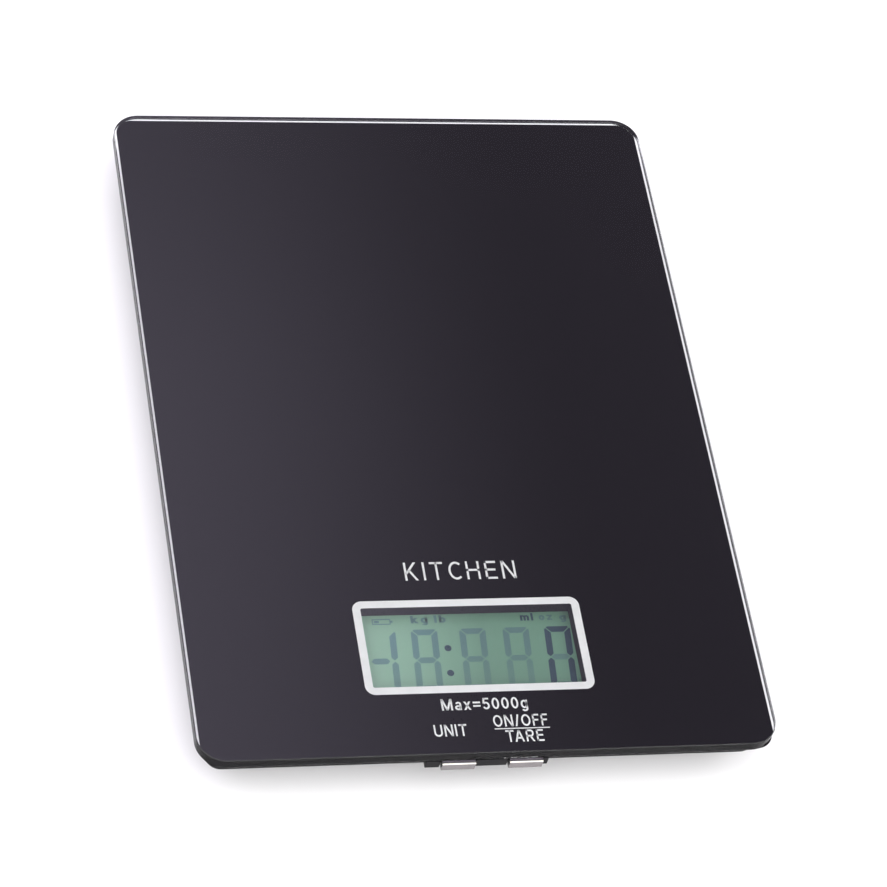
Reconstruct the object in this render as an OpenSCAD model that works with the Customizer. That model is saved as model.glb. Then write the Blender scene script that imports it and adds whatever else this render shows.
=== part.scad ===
// Slim kitchen scale with a glass platform, millimetres, +Z up.
// X runs to the right, Y to the back. The origin lies on the table, under the platform's centre.
// The glass floats on a bending-beam load cell; display, keys and battery sit in the plastic base.

/* [Platform] */
// Width of the glass, side to side
platform_w = 142; // [138:1:150]
// Length of the glass, front to back
platform_l = 194; // [194:1:204]
// Thickness of the glass
glass_t = 3; // [2.6:0.1:3.2]
// Corner radius of the glass, seen from above
platform_r = 7; // [6:0.5:10]
// Ground bevel round the glass's edges
arris = 0.4; // [0.2:0.1:0.6]
// Thickness of the adhesive pads under the glass
pad_t = 0.6; // [0.5:0.1:0.8]
// Side of a square adhesive pad
pad_size = 12; // [8:1:14]
// Thickness of the metal carrier plate
carrier_t = 1; // [0.8:0.1:1.2]

/* [Base] */
// Height of the whole scale
scale_h = 16; // [16:0.1:16.6]
// Gap under the glass in which the platform floats
float_gap = 0.8; // [0.6:0.1:1]
// How far the base's walls stand inside the glass's edge
body_inset = 3.5; // [3:0.5:4]
// How far the base's flat bottom stands inside the glass's edge
bottom_inset = 8.5; // [7:0.5:9]
// Height at which the walls turn inwards
bevel_z = 6.4; // [6:0.2:7]
// Wall thickness of the base
wall_t = 1.8; // [1.6:0.1:2]
// Thickness of the base's floor
floor_t = 1.8; // [1.8:0.1:2]
// How far the feet stand out of the base
foot_proud = 1.2; // [1.2:0.1:1.4]
// Radius of a rubber foot
foot_r = 6; // [5:0.5:7]

/* [Load cell] */
// Length of the bar
cell_l = 47; // [45:1:49]
// Width of the bar
cell_w = 12; // [10:1:13]
// Height of the bar
cell_h = 6; // [5.6:0.1:6.2]

/* [Display] */
// Width of the display glass
lcd_w = 58; // [58:1:60]
// Height of the display glass, front to back
lcd_l = 30; // [29:1:31]
// Distance from the platform's front edge to the display's centre
lcd_from_front = 30.9; // [30.8:0.1:31.2]
// Width of the well's opening
well_w = 53; // [53:0.2:55]
// Length of the well's opening, front to back
well_l = 23; // [23:0.2:25]

/* [Keys] */
// Width of a key cap
key_w = 8.2; // [7.6:0.1:8.4]
// Height of a key cap
key_h = 2.7; // [2.4:0.1:2.8]
// Distance between the two keys' centres
key_pitch = 16.5; // [16:0.1:17]
// How far a key cap stands out past the glass's edge
key_proud = 0.8; // [0.6:0.1:1.2]
// How far a key can be pushed in
key_travel = 0.6; // [0.4:0.1:0.6]
// Width of the black bracket between and beside the keys
bracket_w = 30; // [30:0.5:33]
// How far the bracket sits to the right of the middle
bracket_x = -1.1; // [-1.1:0.1:0]

/* [Battery] */
// Radius of the coin cell
coin_r = 10; // [9.8:0.1:10]
// Thickness of the coin cell
coin_t = 3.2; // [2.5:0.1:3.2]

/* [Hidden] */
$fn = 64;

// Heights, from the table up
floor_z = foot_proud + floor_t;
glass_z = scale_h - glass_t;
rim_z = glass_z - float_gap;
carrier_z = glass_z - pad_t - carrier_t;
cover_t = 1;
cover_z = 9.6;
cover_top = cover_z + cover_t;

// Base outline
body_w = platform_w - 2 * body_inset;
body_l = platform_l - 2 * body_inset;
body_r = platform_r - body_inset + 0.1;
bottom_w = platform_w - 2 * bottom_inset;
bottom_l = platform_l - 2 * bottom_inset;
lean = (bottom_inset - body_inset) / (bevel_z - foot_proud);
floor_inset = body_inset + lean * (bevel_z - floor_z) + wall_t;
inside_w = body_w - 2 * wall_t;
inside_l = body_l - 2 * wall_t;
front_wall_y = -body_l / 2;

// Case screws, feet and stops
screw_x = platform_w / 2 - 13;
screw_y = platform_l / 2 - 13;
screw_places = [for (x = [-screw_x, screw_x], y = [-screw_y, 0, screw_y]) [x, y]];
boss_r = 3.4;
boss_top = 4.6;
case_head_r = 2.3;
case_head_z = 1.5;
case_seat_z = 2.8;
case_shank_r = 1.2;
foot_x = platform_w / 2 - 21;
foot_y = platform_l / 2 - 19;
foot_recess = 0.8;
stop_gap = 0.45;

// Carrier plate and its pads
carrier_w = 108;
carrier_l = 168;
carrier_r = 6;
carrier_arm = 16;
carrier_notch_y = -44;
pad_x = 46;
pad_y = 70;
window_w = 34;
window_l = 52;
window_y = 45;

// Load cell, bar along X, fixed at its left end
lower_spacer_t = 0.7;
cell_z = floor_z + lower_spacer_t;
cell_top = cell_z + cell_h;
cell_holes = [11.5, 19.5];
cell_bolt_r = 1.5;
cell_bolt_gap = 0.05;
spacer_x = (cell_holes[0] + cell_holes[1]) / 2;
spacer_l = 13;
flexure_x = 4.5;
flexure_r = 2.2;
gauge_t = 0.15;
sink_r = 2.9;
sink_h = 1.4;
bolt_head_z = foot_proud + 0.1;

// Board and display
board_t = 1;
board_z = 3.8;
board_top = board_z + board_t;
board_w = 76;
board_front = -platform_l / 2 + 8.8;
board_back = -platform_l / 2 + 51;
board_screw_x = 35;
board_screw_ys = [board_front + 2.4, board_back - 4];
board_head_r = 1.9;
board_shank_r = 0.9;
lcd_y = -platform_l / 2 + lcd_from_front;
lcd_t = 2.5;
lcd_z = 6.5;
lcd_top = lcd_z + lcd_t;
holder_wall = 2.2;
holder_gap = 0.3;
well_wall = 1.5;
zebra_w = 2;
zebra_y = lcd_l / 2 - 1.6;
chip_r = 5;
chip_h = 1.2;

// Keys, bracket and switches
key_x = key_pitch / 2;
key_front = -platform_l / 2 - key_proud;
key_back = front_wall_y - 1.7;
key_top = glass_z - 0.5;
key_z = key_top - key_h;
key_edge = 0.3;
stem_w = 5.6;
stem_z = key_top - 1.8;
stem_top = key_top - 0.6;
leg_front = front_wall_y + 3.4;
leg_t = 1;
leg_z = 5.6;
key_gap = 0.25;
bracket_front = -platform_l / 2 + 0.2;
bracket_z = key_z - 0.2;
bracket_top = key_top - 0.1;
bracket_plate = 0.9;
peg_r = 0.9;
peg_z = (bracket_z + bracket_top) / 2 - 0.1;
peg_xs = [bracket_x - bracket_w / 2 + 1.1, 0, bracket_x + bracket_w / 2 - 1.1];
switch_w = 6;
switch_l = 3.5;
switch_h = 3.4;
switch_front = leg_front + leg_t + 1;
plunger_w = 3;
plunger_l = 2.7;
plunger_h = 1.6;
plunger_z = board_top + 0.9;

// Battery well and door
coin_y = -27;
coin_z = 3.4;
coin_gap = 0.4;
well_roof_z = 7.2;
well_roof_t = 1;
well_x = 14.6;
well_front = -42.4;
well_back = -11.6;
door_x = 13;
door_gap = 0.2;
door_front = -40.8;
door_axis_y = -14;
door_axis_z = 2.1;
door_t = 1.6;
pin_r = 0.55;
pin_l = 1.6;
pin_gap = 0.05;
latch_w = 8;
latch_t = 0.8;
latch_h = 1.7;
contact_t = 0.25;
contact_top = 9.1;
lead_r = 0.45;
lead_z = 8.9;
lead_pad_y = board_back - 0.9;

black = "#1d1c20";
silver = "#b9b7bd";
steel = "#9a9a9c";

// ---- Shared shapes ----

// Flat rectangle with true round corners, centred
module rounded_square(w, l, r) {
    square([w - 2 * r, l], center = true);
    square([w, l - 2 * r], center = true);
    for (x = [-1, 1], y = [-1, 1])
        translate([x * (w / 2 - r), y * (l / 2 - r)])
            circle(r = r);
}

// Plate with round corners, standing on z
module plate(w, l, t, r, z = 0) {
    translate([0, 0, z])
        linear_extrude(t)
            rounded_square(w, l, r);
}

// Plate with round corners and a bevel c round its top and bottom edges
module bevelled_plate(w, l, t, r, c, z = 0) {
    side = [[0, 0], [r - c, 0], [r, c], [r, t - c], [r - c, t], [0, t]];
    translate([0, 0, z]) {
        for (x = [-1, 1], y = [-1, 1])
            translate([x * (w / 2 - r), y * (l / 2 - r), 0])
                rotate_extrude()
                    polygon(side);
        bevelled_bar(w, l - 2 * r, t, c);
        rotate([0, 0, 90])
            bevelled_bar(l, w - 2 * r, t, c);
    }
}

// Bar along Y whose section is a w by t rectangle with bevelled corners
module bevelled_bar(w, length, t, c) {
    translate([0, length / 2, 0])
        rotate([90, 0, 0])
            linear_extrude(length)
                polygon([
                    [-w / 2, c], [-w / 2 + c, 0], [w / 2 - c, 0], [w / 2, c],
                    [w / 2, t - c], [w / 2 - c, t], [-w / 2 + c, t], [-w / 2, t - c],
                ]);
}

// Box from its lowest corner to its highest
module box(low, high) {
    translate(low)
        cube(high - low);
}

// Box centred on x, w wide, from y0 to y1 and z0 to z1
module slab(x, w, y0, y1, z0, z1) {
    box([x - w / 2, y0, z0], [x + w / 2, y1, z1]);
}

// Cross recess for a screwdriver, cut upwards from z = 0
module cross_recess(r, depth) {
    for (a = [0, 90])
        rotate([0, 0, a])
            translate([-r, -r / 4, -0.1])
                cube([2 * r, r / 2, depth + 0.1]);
}

// Direction from one point to another, as a unit vector
function heading(a, b) = (b - a) / norm(b - a);

// Rings of a mitred tube: each ring slides along its stretch to the plane that halves the next bend
function wire_rings(points, ring, i = 0) =
    i == len(points) - 1
        ? [ring]
        : let (
            along = heading(points[i], points[i + 1]),
            plane = i + 2 < len(points) ? along + heading(points[i + 1], points[i + 2]) : along,
            next = [for (q = ring) q + along * ((points[i + 1] - q) * plane) / (along * plane)]
        )
            concat([ring], wire_rings(points, next, i + 1));

// Round wire along points, whose first stretch runs along -Y
module wire(points, r) {
    sides = 10;
    start = [for (i = [0 : sides - 1]) points[0] + r * [cos(360 * i / sides), 0, sin(360 * i / sides)]];
    rings = wire_rings(points, start);
    last = len(rings) - 1;
    polyhedron(
        points = [for (ring = rings) each ring],
        faces = concat(
            [[for (i = [0 : sides - 1]) i]],
            [[for (i = [sides - 1 : -1 : 0]) last * sides + i]],
            [
                for (j = [0 : last - 1], i = [0 : sides - 1])
                    [j * sides + i, (j + 1) * sides + i, (j + 1) * sides + (i + 1) % sides, j * sides + (i + 1) % sides]
            ]
        )
    );
}

// ---- Platform ----

module glass_platform() {
    color("#2a282e", 0.6)
        bevelled_plate(platform_w, platform_l, glass_t, platform_r, arris, glass_z);
}

module glass_pads() {
    color("#d8d8d2")
        for (x = [-pad_x, pad_x], y = [-pad_y, 0, pad_y])
            translate([x, y, 0])
                plate(pad_size, pad_size, pad_t, 2, glass_z - pad_t);
}

module platform_carrier() {
    color(steel)
        difference() {
            plate(carrier_w, carrier_l, carrier_t, carrier_r, carrier_z);
            slab(0, carrier_w - 2 * carrier_arm, -carrier_l, carrier_notch_y, 0, scale_h);
            for (x = [-1, 1])
                translate([x * (window_w / 2 + 5), window_y, 0])
                    plate(window_w - 8, window_l, scale_h, 4);
            for (x = cell_holes)
                carrier_bolt_hole(x);
        }
}

// Countersunk hole through the carrier and its spacer, at the bar's free end
module carrier_bolt_hole(x) {
    top = carrier_z + carrier_t;
    translate([x, 0, cell_top - 1])
        cylinder(r = cell_bolt_r + cell_bolt_gap, h = 4);
    translate([x, 0, top - sink_h - cell_bolt_gap])
        cylinder(r1 = cell_bolt_r + cell_bolt_gap, r2 = sink_r + cell_bolt_gap, h = sink_h + 0.1);
}

// Flat-headed bolt with its head's face at z = 0 and its shank along +Z
module countersunk_bolt(length) {
    difference() {
        union() {
            cylinder(r1 = sink_r, r2 = cell_bolt_r, h = sink_h);
            cylinder(r = cell_bolt_r, h = length);
        }
        cross_recess(1.7, 0.9);
    }
}

module carrier_screws() {
    color(steel)
        for (x = cell_holes)
            translate([x, 0, carrier_z + carrier_t])
                mirror([0, 0, 1])
                    countersunk_bolt(6);
}

module cell_spacer_upper() {
    color(silver)
        difference() {
            slab(spacer_x, spacer_l, -cell_w / 2, cell_w / 2, cell_top, carrier_z);
            for (x = cell_holes)
                carrier_bolt_hole(x);
        }
}

// ---- Load cell ----

module load_cell() {
    color("#c4c6ca")
        difference() {
            slab(0, cell_l, -cell_w / 2, cell_w / 2, cell_z, cell_top);
            for (side = [-1, 1], x = cell_holes)
                translate([side * x, 0, cell_z - 1])
                    cylinder(r = cell_bolt_r + cell_bolt_gap, h = cell_h + 2);
            for (side = [-1, 1])
                translate([side * flexure_x, 0, cell_z + cell_h / 2])
                    rotate([90, 0, 0])
                        cylinder(r = flexure_r, h = cell_w + 2, center = true);
            translate([0, 0, cell_z + cell_h / 2])
                cube([2 * flexure_x, cell_w + 2, 1.2], center = true);
        }
}

module strain_gauges() {
    color("#e9e4d0")
        for (x = [-flexure_x, flexure_x], z = [cell_z - gauge_t, cell_top])
            slab(x, 6, -2, 2, z, z + gauge_t);
}

module cell_spacer_lower() {
    color(silver)
        difference() {
            slab(-spacer_x, spacer_l, -cell_w / 2, cell_w / 2, floor_z, cell_z);
            for (x = cell_holes)
                translate([-x, 0, floor_z - 1])
                    cylinder(r = cell_bolt_r + cell_bolt_gap, h = 3);
        }
}

module cell_screws() {
    color(steel)
        for (x = cell_holes)
            translate([-x, 0, bolt_head_z])
                countersunk_bolt(7.4);
}

module cell_wires() {
    pitch = 1.3;
    shift = 14;
    for (i = [0 : 3]) {
        start_x = -5 - pitch * i;
        bend_y = -11 + 0.7 * i;
        color(["#c02b2b", "#1e1e1e", "#e8e8e8", "#2f7d46"][i])
            wire([
                [start_x, -cell_w / 2, lead_z],
                [start_x, bend_y, lead_z],
                [start_x - shift, bend_y - 9, lead_z],
                [start_x - shift, lead_pad_y, lead_z],
                [start_x - shift, lead_pad_y, board_top],
            ], lead_r);
    }
}

// ---- Base ----

module shell_outside() {
    hull() {
        plate(body_w, body_l, rim_z - bevel_z, body_r, bevel_z, $fn = 32);
        plate(bottom_w, bottom_l, 0.2, body_r, foot_proud, $fn = 32);
    }
}

module shell_inside() {
    hull() {
        plate(inside_w, inside_l, scale_h, body_r - 1, bevel_z, $fn = 32);
        plate(platform_w - 2 * floor_inset, platform_l - 2 * floor_inset, 1, body_r - 1, floor_z, $fn = 32);
    }
}

// Block round the coin cell that rises from the floor
module battery_well() {
    box([-well_x, well_front, foot_proud + 0.5], [well_x, well_back, well_roof_z + well_roof_t]);
}

// Everything that is cut out of the battery well and the floor under it
module battery_space() {
    door_edge = door_x + door_gap;
    box(
        [-door_edge, door_front - door_gap, 0],
        [door_edge, door_axis_y + door_t / 2 + door_gap, floor_z]
    );
    translate([0, coin_y, 0])
        cylinder(r = coin_r + coin_gap, h = well_roof_z);
    slab(0, latch_w + 0.6, door_front - door_gap, door_front + latch_t + 0.3, 0, floor_z + latch_h + 0.3);
    translate([0, door_axis_y, door_axis_z])
        rotate([0, 90, 0])
            cylinder(r = pin_r + pin_gap, h = 2 * (door_x + pin_l + 0.2), center = true, $fn = 32);
    translate([0, door_front - door_gap, 0])
        cylinder(r = 6, h = foot_proud + 0.9);
    box([coin_r - 0.1, coin_y - 2.3, 0], [coin_r + 0.8, coin_y + 2.3, well_roof_z + 2]);
    slab(0, 3.4, coin_y - 6.2, coin_y - 5.5, well_roof_z - 1, well_roof_z + 2);
}

module base_shell() {
    color(black)
        difference() {
            union() {
                difference() {
                    shell_outside();
                    shell_inside();
                }
                for (place = screw_places)
                    translate(place)
                        translate([0, 0, foot_proud])
                            cylinder(r = boss_r, h = boss_top - foot_proud);
                for (x = [-board_screw_x, board_screw_x], y = board_screw_ys)
                    translate([x, y, floor_z - 0.4])
                        cylinder(r = 2.6, h = board_z - floor_z + 0.4);
                battery_well();
            }
            battery_space();
            for (place = screw_places)
                translate(place) {
                    cylinder(r = case_head_r + 0.2, h = case_seat_z);
                    cylinder(r = case_shank_r + 0.3, h = scale_h);
                }
            for (x = [-foot_x, foot_x], y = [-foot_y, foot_y])
                translate([x, y, 0])
                    cylinder(r = foot_r, h = foot_proud + foot_recess);
            for (x = [-board_screw_x, board_screw_x], y = board_screw_ys)
                translate([x, y, foot_proud + 0.6])
                    cylinder(r = board_shank_r + 0.05, h = scale_h);
            for (x = cell_holes)
                translate([-x, 0, bolt_head_z]) {
                    cylinder(r = cell_bolt_r + cell_bolt_gap, h = scale_h);
                    cylinder(r1 = sink_r + 0.1, r2 = cell_bolt_r + 0.1, h = sink_h);
                    mirror([0, 0, 1])
                        cylinder(r = sink_r + 0.1, h = bolt_head_z);
                }
            for (x = [-key_x, key_x])
                slab(x, stem_w + 0.8, front_wall_y - 1, front_wall_y + wall_t + 1, stem_z - 0.4, scale_h);
            for (x = peg_xs)
                translate([x, front_wall_y - 1, peg_z])
                    rotate([-90, 0, 0])
                        cylinder(r = peg_r + 0.05, h = wall_t + 2, $fn = 32);
        }
}

module top_cover() {
    rest = 0.15;
    color("#232227")
        difference() {
            union() {
                plate(inside_w - 2 * rest, inside_l - 2 * rest, cover_t, body_r - 1, cover_z);
                for (place = screw_places)
                    translate([place.x, place.y, boss_top])
                        cylinder(r = 2.6, h = cover_z - boss_top + 0.5);
                for (x = [-pad_x, pad_x], y = [-pad_y + 8, pad_y - 8])
                    translate([x, y, cover_z])
                        cylinder(r = 3, h = carrier_z - stop_gap - cover_z);
            }
            for (place = screw_places)
                translate([place.x, place.y, 0])
                    cylinder(r = case_shank_r + 0.05, h = cover_z - 0.2);
            translate([0, lcd_y, 0])
                plate(well_w + 2 * well_wall + 0.6, well_l + 2 * well_wall + 0.6, scale_h, 1);
            plate(cell_l + 4, cell_w + 4, scale_h, 2);
            for (x = [-key_x, key_x])
                slab(x, stem_w + 1.2, front_wall_y, leg_front + leg_t + key_travel + 1, 0, scale_h);
        }
}

module case_screws() {
    color(steel)
        for (place = screw_places)
            translate([place.x, place.y, case_head_z])
                difference() {
                    union() {
                        cylinder(r = case_head_r, h = case_seat_z - case_head_z);
                        cylinder(r = case_shank_r, h = cover_z - 0.4 - case_head_z);
                    }
                    cross_recess(1.4, 0.8);
                }
}

module foot(x_side, y_side) {
    chamfer = 0.5;
    height = foot_proud + foot_recess;
    color("#3a3a3c")
        translate([x_side * foot_x, y_side * foot_y, 0])
            rotate_extrude()
                polygon([[0, 0], [foot_r - chamfer, 0], [foot_r, chamfer], [foot_r, height], [0, height]]);
}

// ---- Display and board ----

module lcd_panel() {
    color("#9fb39a")
        translate([0, lcd_y, 0])
            slab(0, lcd_w, -lcd_l / 2, lcd_l / 2, lcd_z, lcd_top);
}

module lcd_holder() {
    inner_w = lcd_w + 2 * holder_gap;
    inner_l = lcd_l + 2 * holder_gap;
    color("#17161a")
        translate([0, lcd_y, 0])
            difference() {
                union() {
                    plate(inner_w + 2 * holder_wall, inner_l + 2 * holder_wall, cover_z - board_top, 1, board_top);
                    plate(well_w + 2 * well_wall, well_l + 2 * well_wall, rim_z + 0.1 - lcd_top, 0.7, lcd_top);
                }
                slab(0, inner_w, -inner_l / 2, inner_l / 2, 0, lcd_top);
                slab(0, well_w, -well_l / 2, well_l / 2, 0, scale_h);
            }
}

module zebra_strips() {
    color("#8d8d93")
        for (y = [-zebra_y, zebra_y])
            slab(0, lcd_w - 6, lcd_y + y - zebra_w / 2, lcd_y + y + zebra_w / 2, board_top, lcd_z);
}

module main_board() {
    color("#1f6b3c")
        difference() {
            slab(0, board_w, board_front, board_back, board_z, board_top);
            for (x = [-board_screw_x, board_screw_x], y = board_screw_ys)
                translate([x, y, 0])
                    cylinder(r = board_shank_r + 0.2, h = scale_h);
        }
}

module board_screws() {
    head_h = 1.3;
    color(steel)
        for (x = [-board_screw_x, board_screw_x], y = board_screw_ys)
            translate([x, y, board_top + head_h])
                mirror([0, 0, 1])
                    difference() {
                        union() {
                            cylinder(r = board_head_r, h = head_h);
                            cylinder(r = board_shank_r, h = head_h + 2.8);
                        }
                        cross_recess(1.2, 0.7);
                    }
}

module chip_cover() {
    dome_r = (chip_r * chip_r + chip_h * chip_h) / (2 * chip_h);
    color("#141414")
        translate([0, lcd_y, board_top])
            rotate_extrude()
                intersection() {
                    translate([0, chip_h - dome_r])
                        circle(r = dome_r, $fn = 200);
                    square([chip_r + 1, chip_h + 1]);
                }
}

module board_components() {
    y = board_front + 2.4;
    color("#8a6b45")
        for (x = [-17.6 : 3.2 : -14.4])
            for (side = [-1, 1])
                slab(side * x, 1.6, y - 0.4, y + 0.4, board_top, board_top + 0.7);
    color("#8a6b45")
        for (x = [-2.6, 0, 2.6])
            slab(x, 1.6, y - 0.4, y + 0.4, board_top, board_top + 0.7);
    color("#b8b8ba")
        slab(-25, 8, y - 1.8, y + 1.8, board_top, board_top + 2.4);
    color("#2a2a2a")
        slab(25, 5, y - 2, y + 2, board_top, board_top + 1.6);
}

// ---- Keys ----

module tact_switch(x) {
    gap = 0.1;
    y1 = switch_front + switch_l;
    color("#2b2b2e")
        difference() {
            slab(x, switch_w, switch_front, y1, board_top, board_top + switch_h);
            slab(
                x, plunger_w + 2 * gap, switch_front - 1, y1 - 0.8,
                plunger_z - gap, plunger_z + plunger_h + gap
            );
        }
}

module plunger(x) {
    y0 = leg_front + leg_t;
    color("#dedede")
        slab(x, plunger_w, y0, y0 + plunger_l, plunger_z, plunger_z + plunger_h);
}

// Key cap with a stem through the wall and a leg down to its switch
module key(x) {
    color(silver)
        union() {
            translate([x - key_w / 2, 0, 0])
                rotate([90, 0, 90])
                    linear_extrude(key_w)
                        polygon([
                            [key_back, key_z], [key_back, key_top],
                            [key_front + key_edge, key_top], [key_front, key_top - key_edge],
                            [key_front, key_z + key_edge], [key_front + key_edge, key_z],
                        ]);
            slab(x, stem_w, key_back - 0.1, leg_front + leg_t, stem_z, stem_top);
            slab(x, stem_w, leg_front, leg_front + leg_t, leg_z, stem_top);
        }
}

module button_bracket() {
    pocket = key_w + 2 * key_gap;
    color(black)
        difference() {
            union() {
                difference() {
                    slab(bracket_x, bracket_w, bracket_front, front_wall_y, bracket_z, bracket_top);
                    for (x = [-key_x, key_x])
                        slab(x, pocket, bracket_front - 1, front_wall_y - bracket_plate, 0, scale_h);
                }
                for (x = peg_xs)
                    translate([x, front_wall_y - 0.5, peg_z])
                        rotate([-90, 0, 0])
                            cylinder(r = peg_r, h = wall_t + 0.5, $fn = 32);
            }
            for (x = [-key_x, key_x])
                slab(x, stem_w + 0.6, bracket_front, front_wall_y + 1, stem_z - 0.3, scale_h);
        }
}

// ---- Battery ----

module coin_cell() {
    rim = 0.25;
    color("#cfcfd2")
        translate([0, coin_y, coin_z])
            rotate_extrude()
                polygon([
                    [0, 0], [coin_r - rim, 0], [coin_r, rim], [coin_r, coin_t - 0.7],
                    [coin_r - 1.2, coin_t - 0.35], [coin_r - 1.2, coin_t], [0, coin_t],
                ]);
}

module contact_positive() {
    color("#c9c4b4")
        box([coin_r, coin_y - 2, coin_z + 0.2], [coin_r + contact_t, coin_y + 2, contact_top]);
}

module contact_negative() {
    touch_z = coin_z + coin_t;
    strip_z = well_roof_z - contact_t;
    color("#c9c4b4") {
        slab(0, 6, coin_y - 6, coin_y + 6, strip_z, well_roof_z);
        translate([0, coin_y, touch_z])
            cylinder(r = 1.5, h = strip_z - touch_z + 0.1);
        slab(0, 3, coin_y - 6, coin_y - 6 + contact_t, strip_z, contact_top);
    }
}

// One battery lead from a contact's tail at start to the board
module battery_lead(start, pad_x) {
    wire([
        start,
        [start.x, start.y - 2, lead_z],
        [pad_x, -41, lead_z],
        [pad_x, lead_pad_y, lead_z],
        [pad_x, lead_pad_y, board_top],
    ], lead_r);
}

module battery_leads() {
    color("#c02b2b")
        battery_lead([coin_r + contact_t / 2, coin_y - 2, lead_z], 8);
    color("#1e1e1e")
        battery_lead([0, coin_y - 6, lead_z], 3);
}

module battery_door() {
    bottom = door_axis_z - door_t / 2;
    color("#201f23")
        union() {
            box([-door_x, door_front, bottom], [door_x, door_axis_y, bottom + door_t]);
            translate([0, door_axis_y, door_axis_z])
                rotate([0, 90, 0]) {
                    cylinder(r = door_t / 2, h = 2 * door_x, center = true, $fn = 32);
                    cylinder(r = pin_r, h = 2 * (door_x + pin_l), center = true, $fn = 32);
                }
            slab(0, latch_w, door_front, door_front + latch_t, bottom, bottom + door_t + latch_h);
            translate([0, coin_y, bottom])
                cylinder(r = 8, h = coin_z - 0.1 - bottom);
        }
}

glass_platform();
glass_pads();
platform_carrier();
carrier_screws();
cell_spacer_upper();
load_cell();
strain_gauges();
cell_spacer_lower();
cell_screws();
cell_wires();
base_shell();
top_cover();
case_screws();
foot(-1, -1);  // foot_front_left
foot(1, -1);  // foot_front_right
foot(-1, 1);  // foot_back_left
foot(1, 1);  // foot_back_right
lcd_panel();
lcd_holder();
zebra_strips();
main_board();
board_screws();
chip_cover();
board_components();
tact_switch(-key_x);  // switch_unit
tact_switch(key_x);  // switch_tare
plunger(-key_x);  // plunger_unit
plunger(key_x);  // plunger_tare
key(-key_x);  // unit_button
key(key_x);  // tare_button
button_bracket();
coin_cell();
contact_positive();
contact_negative();
battery_leads();
battery_door();
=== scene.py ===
"""Looks for a slim kitchen scale: glass platform, printed face, display, keys, case and weighing works."""

import math

import bmesh
import bpy
import numpy as np
from bpy.props import FloatProperty, FloatVectorProperty, PointerProperty
from bpy.types import Operator, Panel, PropertyGroup
from mathutils import Matrix, Vector


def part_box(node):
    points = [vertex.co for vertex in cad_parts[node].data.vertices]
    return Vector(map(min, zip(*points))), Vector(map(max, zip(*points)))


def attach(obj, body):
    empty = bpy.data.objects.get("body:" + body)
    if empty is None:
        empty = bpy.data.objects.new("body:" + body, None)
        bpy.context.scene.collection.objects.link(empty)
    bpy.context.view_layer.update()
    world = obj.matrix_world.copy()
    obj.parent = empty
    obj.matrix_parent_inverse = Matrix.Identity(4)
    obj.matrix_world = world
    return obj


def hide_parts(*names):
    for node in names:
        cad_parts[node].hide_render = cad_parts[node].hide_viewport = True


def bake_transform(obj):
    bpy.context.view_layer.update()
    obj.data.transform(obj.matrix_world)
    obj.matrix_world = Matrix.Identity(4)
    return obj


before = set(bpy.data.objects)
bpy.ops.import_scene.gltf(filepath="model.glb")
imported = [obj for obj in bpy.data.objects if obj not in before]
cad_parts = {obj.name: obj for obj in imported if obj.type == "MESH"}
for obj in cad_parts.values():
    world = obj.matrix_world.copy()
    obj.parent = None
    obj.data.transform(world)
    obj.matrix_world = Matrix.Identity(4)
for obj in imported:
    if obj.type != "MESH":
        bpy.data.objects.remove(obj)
bpy.context.view_layer.update()

bl_info = {
    "name": "Kitchen scale looks",
    "version": (1, 0, 0),
    "blender": (4, 5, 0),
    "location": "View3D > Sidebar > Scale",
    "description": "Builds the glass, prints, display, keys and finishes of a kitchen scale on its packed frame",
    "category": "Object",
}

MM = 0.001
GLASS_LOW, GLASS_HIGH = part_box("glass_platform")
PANEL_LOW, PANEL_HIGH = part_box("lcd_panel")
FEET = ("foot_front_left", "foot_front_right", "foot_back_left", "foot_back_right")

# Heights of the printed layers above the underside of the glass, from and to, in millimetres
BLACK_LAYER = (0.010, 0.020)
LINE_LAYER = (0.030, 0.040)
LEGEND_LAYER = (0.030, 0.045)
# Words and their boxes (left, front, right, back), in millimetres
LEGENDS = (
    ("UNIT", (-13.55, -91.2, -5.5, -87.95)),
    ("ON/OFF", (1.25, -89.0, 14.7, -85.75)),
    ("TARE", (3.75, -93.25, 13.0, -90.0)),
    ("Max=5000g", (-10.7, -84.95, 10.5, -80.9)),
)
LEGEND_RULE = (1.3, -89.7, 14.9, -89.42)
FRONT_WORD = ("KITCHEN", (-14.0, -47.3, 14.0, -42.1))
RESTING_UNITS = (
    ("kg", (-13.5, -57.6, -9.1, -54.9)),
    ("lb", (-7.5, -57.0, -4.6, -54.9)),
    ("oz", (18.8, -57.0, 22.3, -55.5)),
    ("g", (24.0, -57.7, 25.7, -55.7)),
)
DARK_UNIT = ("ml", (14.1, -57.0, 17.4, -54.9))
# Stroke widths for a letter of height 1, and the usual and the wide gap between letters
LEGEND_STROKE, FRONT_STROKE, UNIT_STROKE = 0.145, 0.115, 0.2
LETTER_GAP, WIDE_GAP = 0.17, 0.28
CLOSE_PAIRS, CLOSE_BY = ("TA", "AT", "FA"), 0.14
# Where the display's parts lie, in millimetres
DIGIT_ROW = -67.55
RESTING_DIGITS, DARK_DIGIT, SINGLE_DIGIT = (-11.0, 1.05, 11.95), 22.45, -21.4
MINUS_SIGN = ((-24.7, 0), (-24.0, -0.8), (-20.8, -0.8), (-20.1, 0), (-20.8, 0.8), (-24.0, 0.8))
COLON_DOTS, COLON_SIZE = ((-5.3, -64.3), (-5.75, -71.3)), 1.75
BATTERY_MARK = (
    (-23.0, -57.2, -18.4, -56.95), (-23.0, -55.85, -18.4, -55.6), (-23.0, -57.2, -22.75, -55.6),
    (-18.65, -57.2, -18.4, -55.6), (-18.4, -56.7, -17.9, -56.1), (-22.5, -56.75, -21.3, -56.05),
)
SEGMENT_HEIGHT = 0.02
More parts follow.
